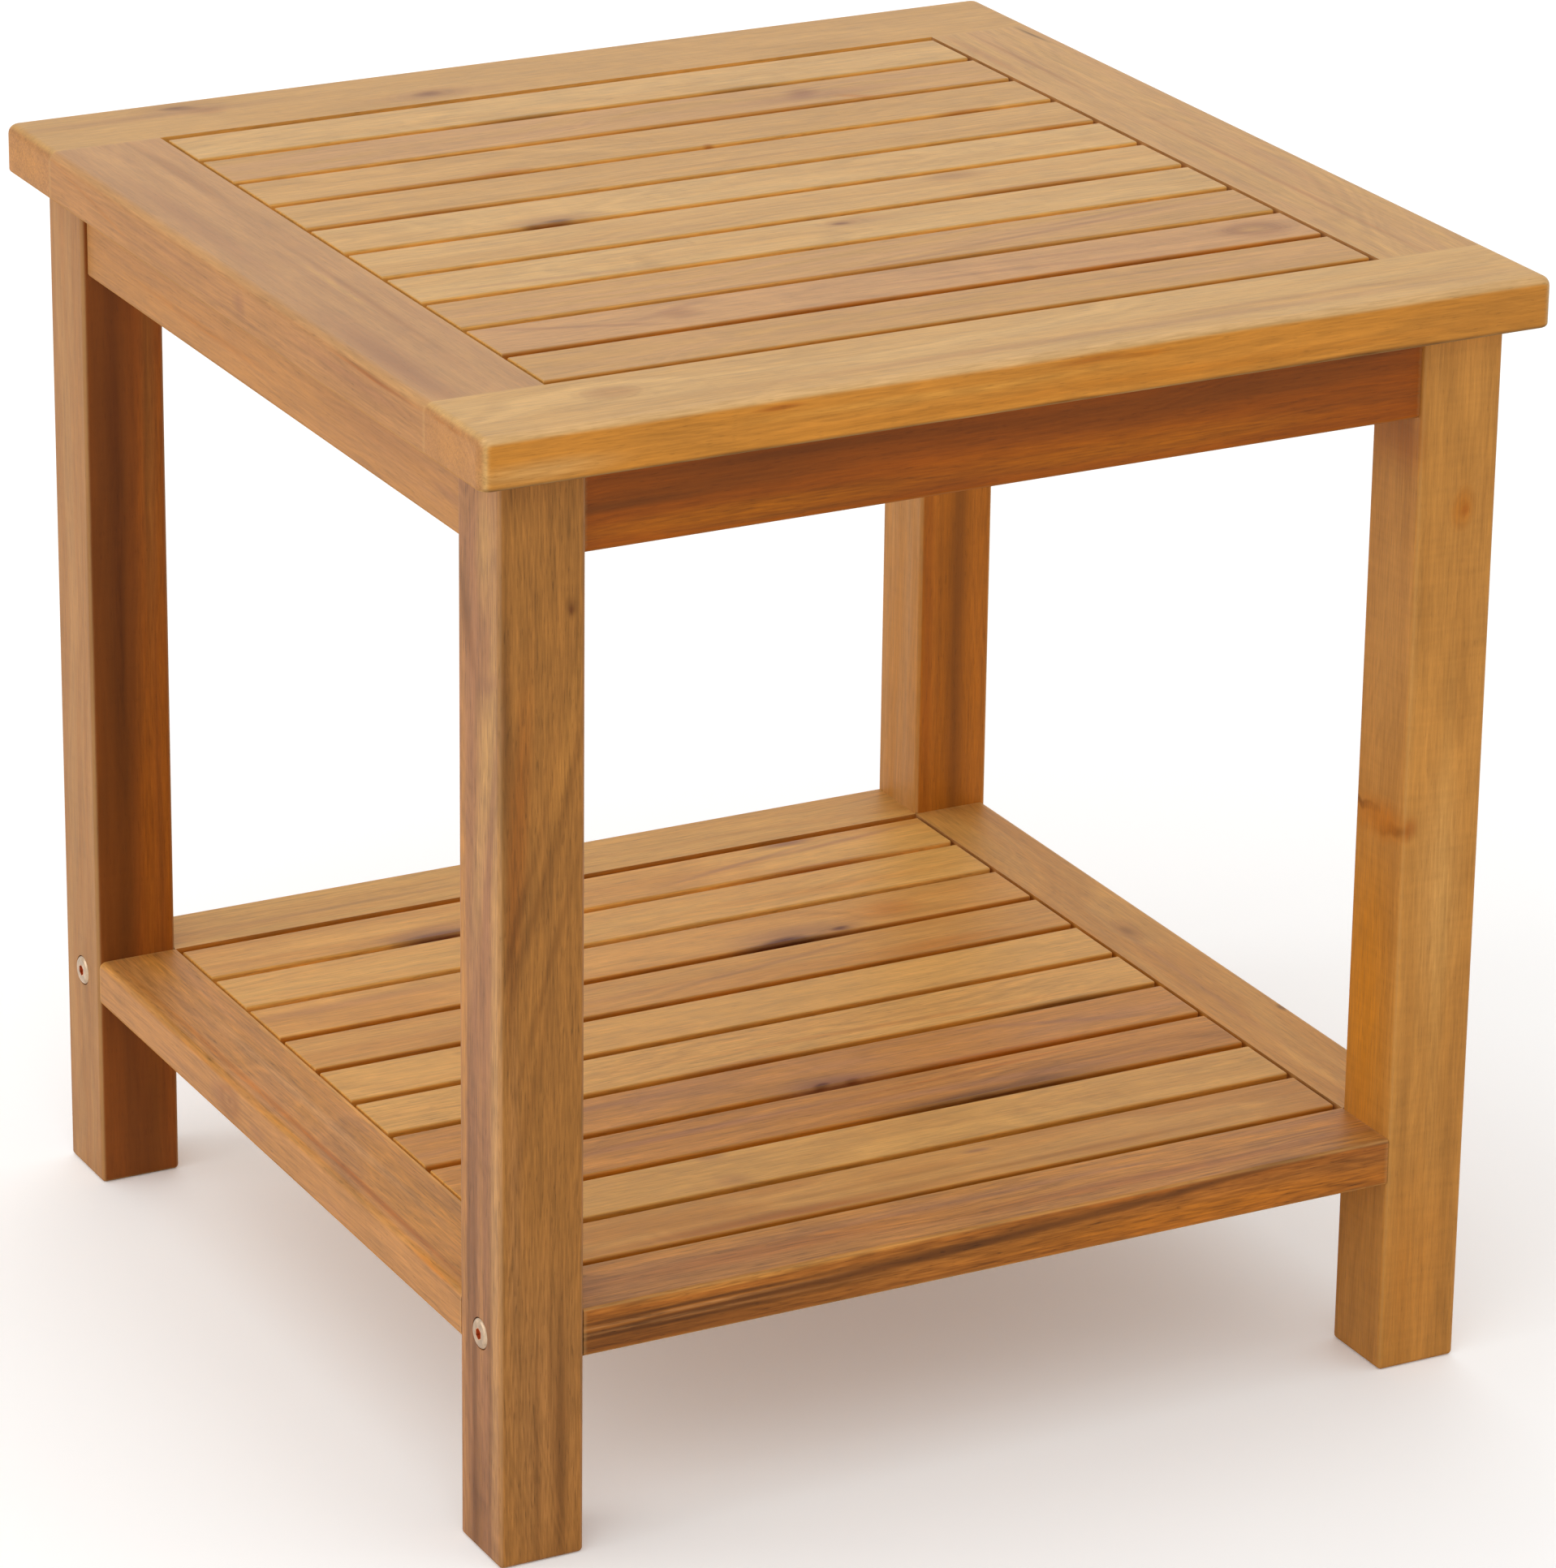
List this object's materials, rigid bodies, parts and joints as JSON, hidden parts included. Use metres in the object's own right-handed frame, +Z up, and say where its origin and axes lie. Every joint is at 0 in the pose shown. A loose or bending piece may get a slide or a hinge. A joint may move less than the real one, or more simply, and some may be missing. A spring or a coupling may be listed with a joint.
{
  "type": "outdoor side table",
  "caption": "Square outdoor side table in oiled hardwood: a framed slatted top on square legs, with aprons and a low slatted shelf bolted between the legs.",
  "frame": {"origin": "on the ground under the middle of the table", "axes": "+X to the right along the front edge and along the slats, +Y to the back, +Z up"},
  "size_m": [0.45, 0.45, 0.4545],
  "materials": {
    "frame_wood": "oiled, satin",
    "slat_wood": "oiled, satin",
    "leg_wood": "oiled, satin",
    "apron_wood": "oiled, satin",
    "shelf_wood": "oiled, satin",
    "batten_wood": "planed",
    "dowel_wood": "turned",
    "zinc_plate": "bright zinc plate",
    "screw_steel": "yellow zinc plate"
  },
  "bodies": {
    "root": {"top_front_rail": "frame_wood", "top_back_rail": "frame_wood", "top_left_rail": "frame_wood", "top_right_rail": "frame_wood", "top_slat_01": "slat_wood", "top_slat_02": "slat_wood", "top_slat_03": "slat_wood", "top_slat_04": "slat_wood", "top_slat_05": "slat_wood", "top_slat_06": "slat_wood", "top_slat_07": "slat_wood", "top_slat_08": "slat_wood", "top_slat_09": "slat_wood", "top_slat_10": "slat_wood", "top_batten_left": "batten_wood", "top_batten_right": "batten_wood", "apron_front": "apron_wood", "apron_back": "apron_wood", "apron_left": "apron_wood", "apron_right": "apron_wood", "corner_block_front_left": "batten_wood", "corner_block_front_right": "batten_wood", "corner_block_back_left": "batten_wood", "corner_block_back_right": "batten_wood", "leg_front_left": "leg_wood", "leg_front_right": "leg_wood", "leg_back_left": "leg_wood", "leg_back_right": "leg_wood", "shelf_front_rail": "shelf_wood", "shelf_back_rail": "shelf_wood", "shelf_left_rail": "shelf_wood", "shelf_right_rail": "shelf_wood", "shelf_slat_01": "shelf_wood", "shelf_slat_02": "shelf_wood", "shelf_slat_03": "shelf_wood", "shelf_slat_04": "shelf_wood", "shelf_slat_05": "shelf_wood", "shelf_slat_06": "shelf_wood", "shelf_slat_07": "shelf_wood", "shelf_slat_08": "shelf_wood", "shelf_slat_09": "shelf_wood", "shelf_slat_10": "shelf_wood", "shelf_batten_left": "batten_wood", "shelf_batten_right": "batten_wood", "dowels": "dowel_wood", "shelf_bolts": "zinc_plate", "barrel_nuts": "zinc_plate", "hanger_bolts": "zinc_plate", "hanger_nuts": "zinc_plate", "hanger_washers": "zinc_plate", "top_screws": "screw_steel", "slat_screws": "screw_steel"}
  },
  "joints": []
}
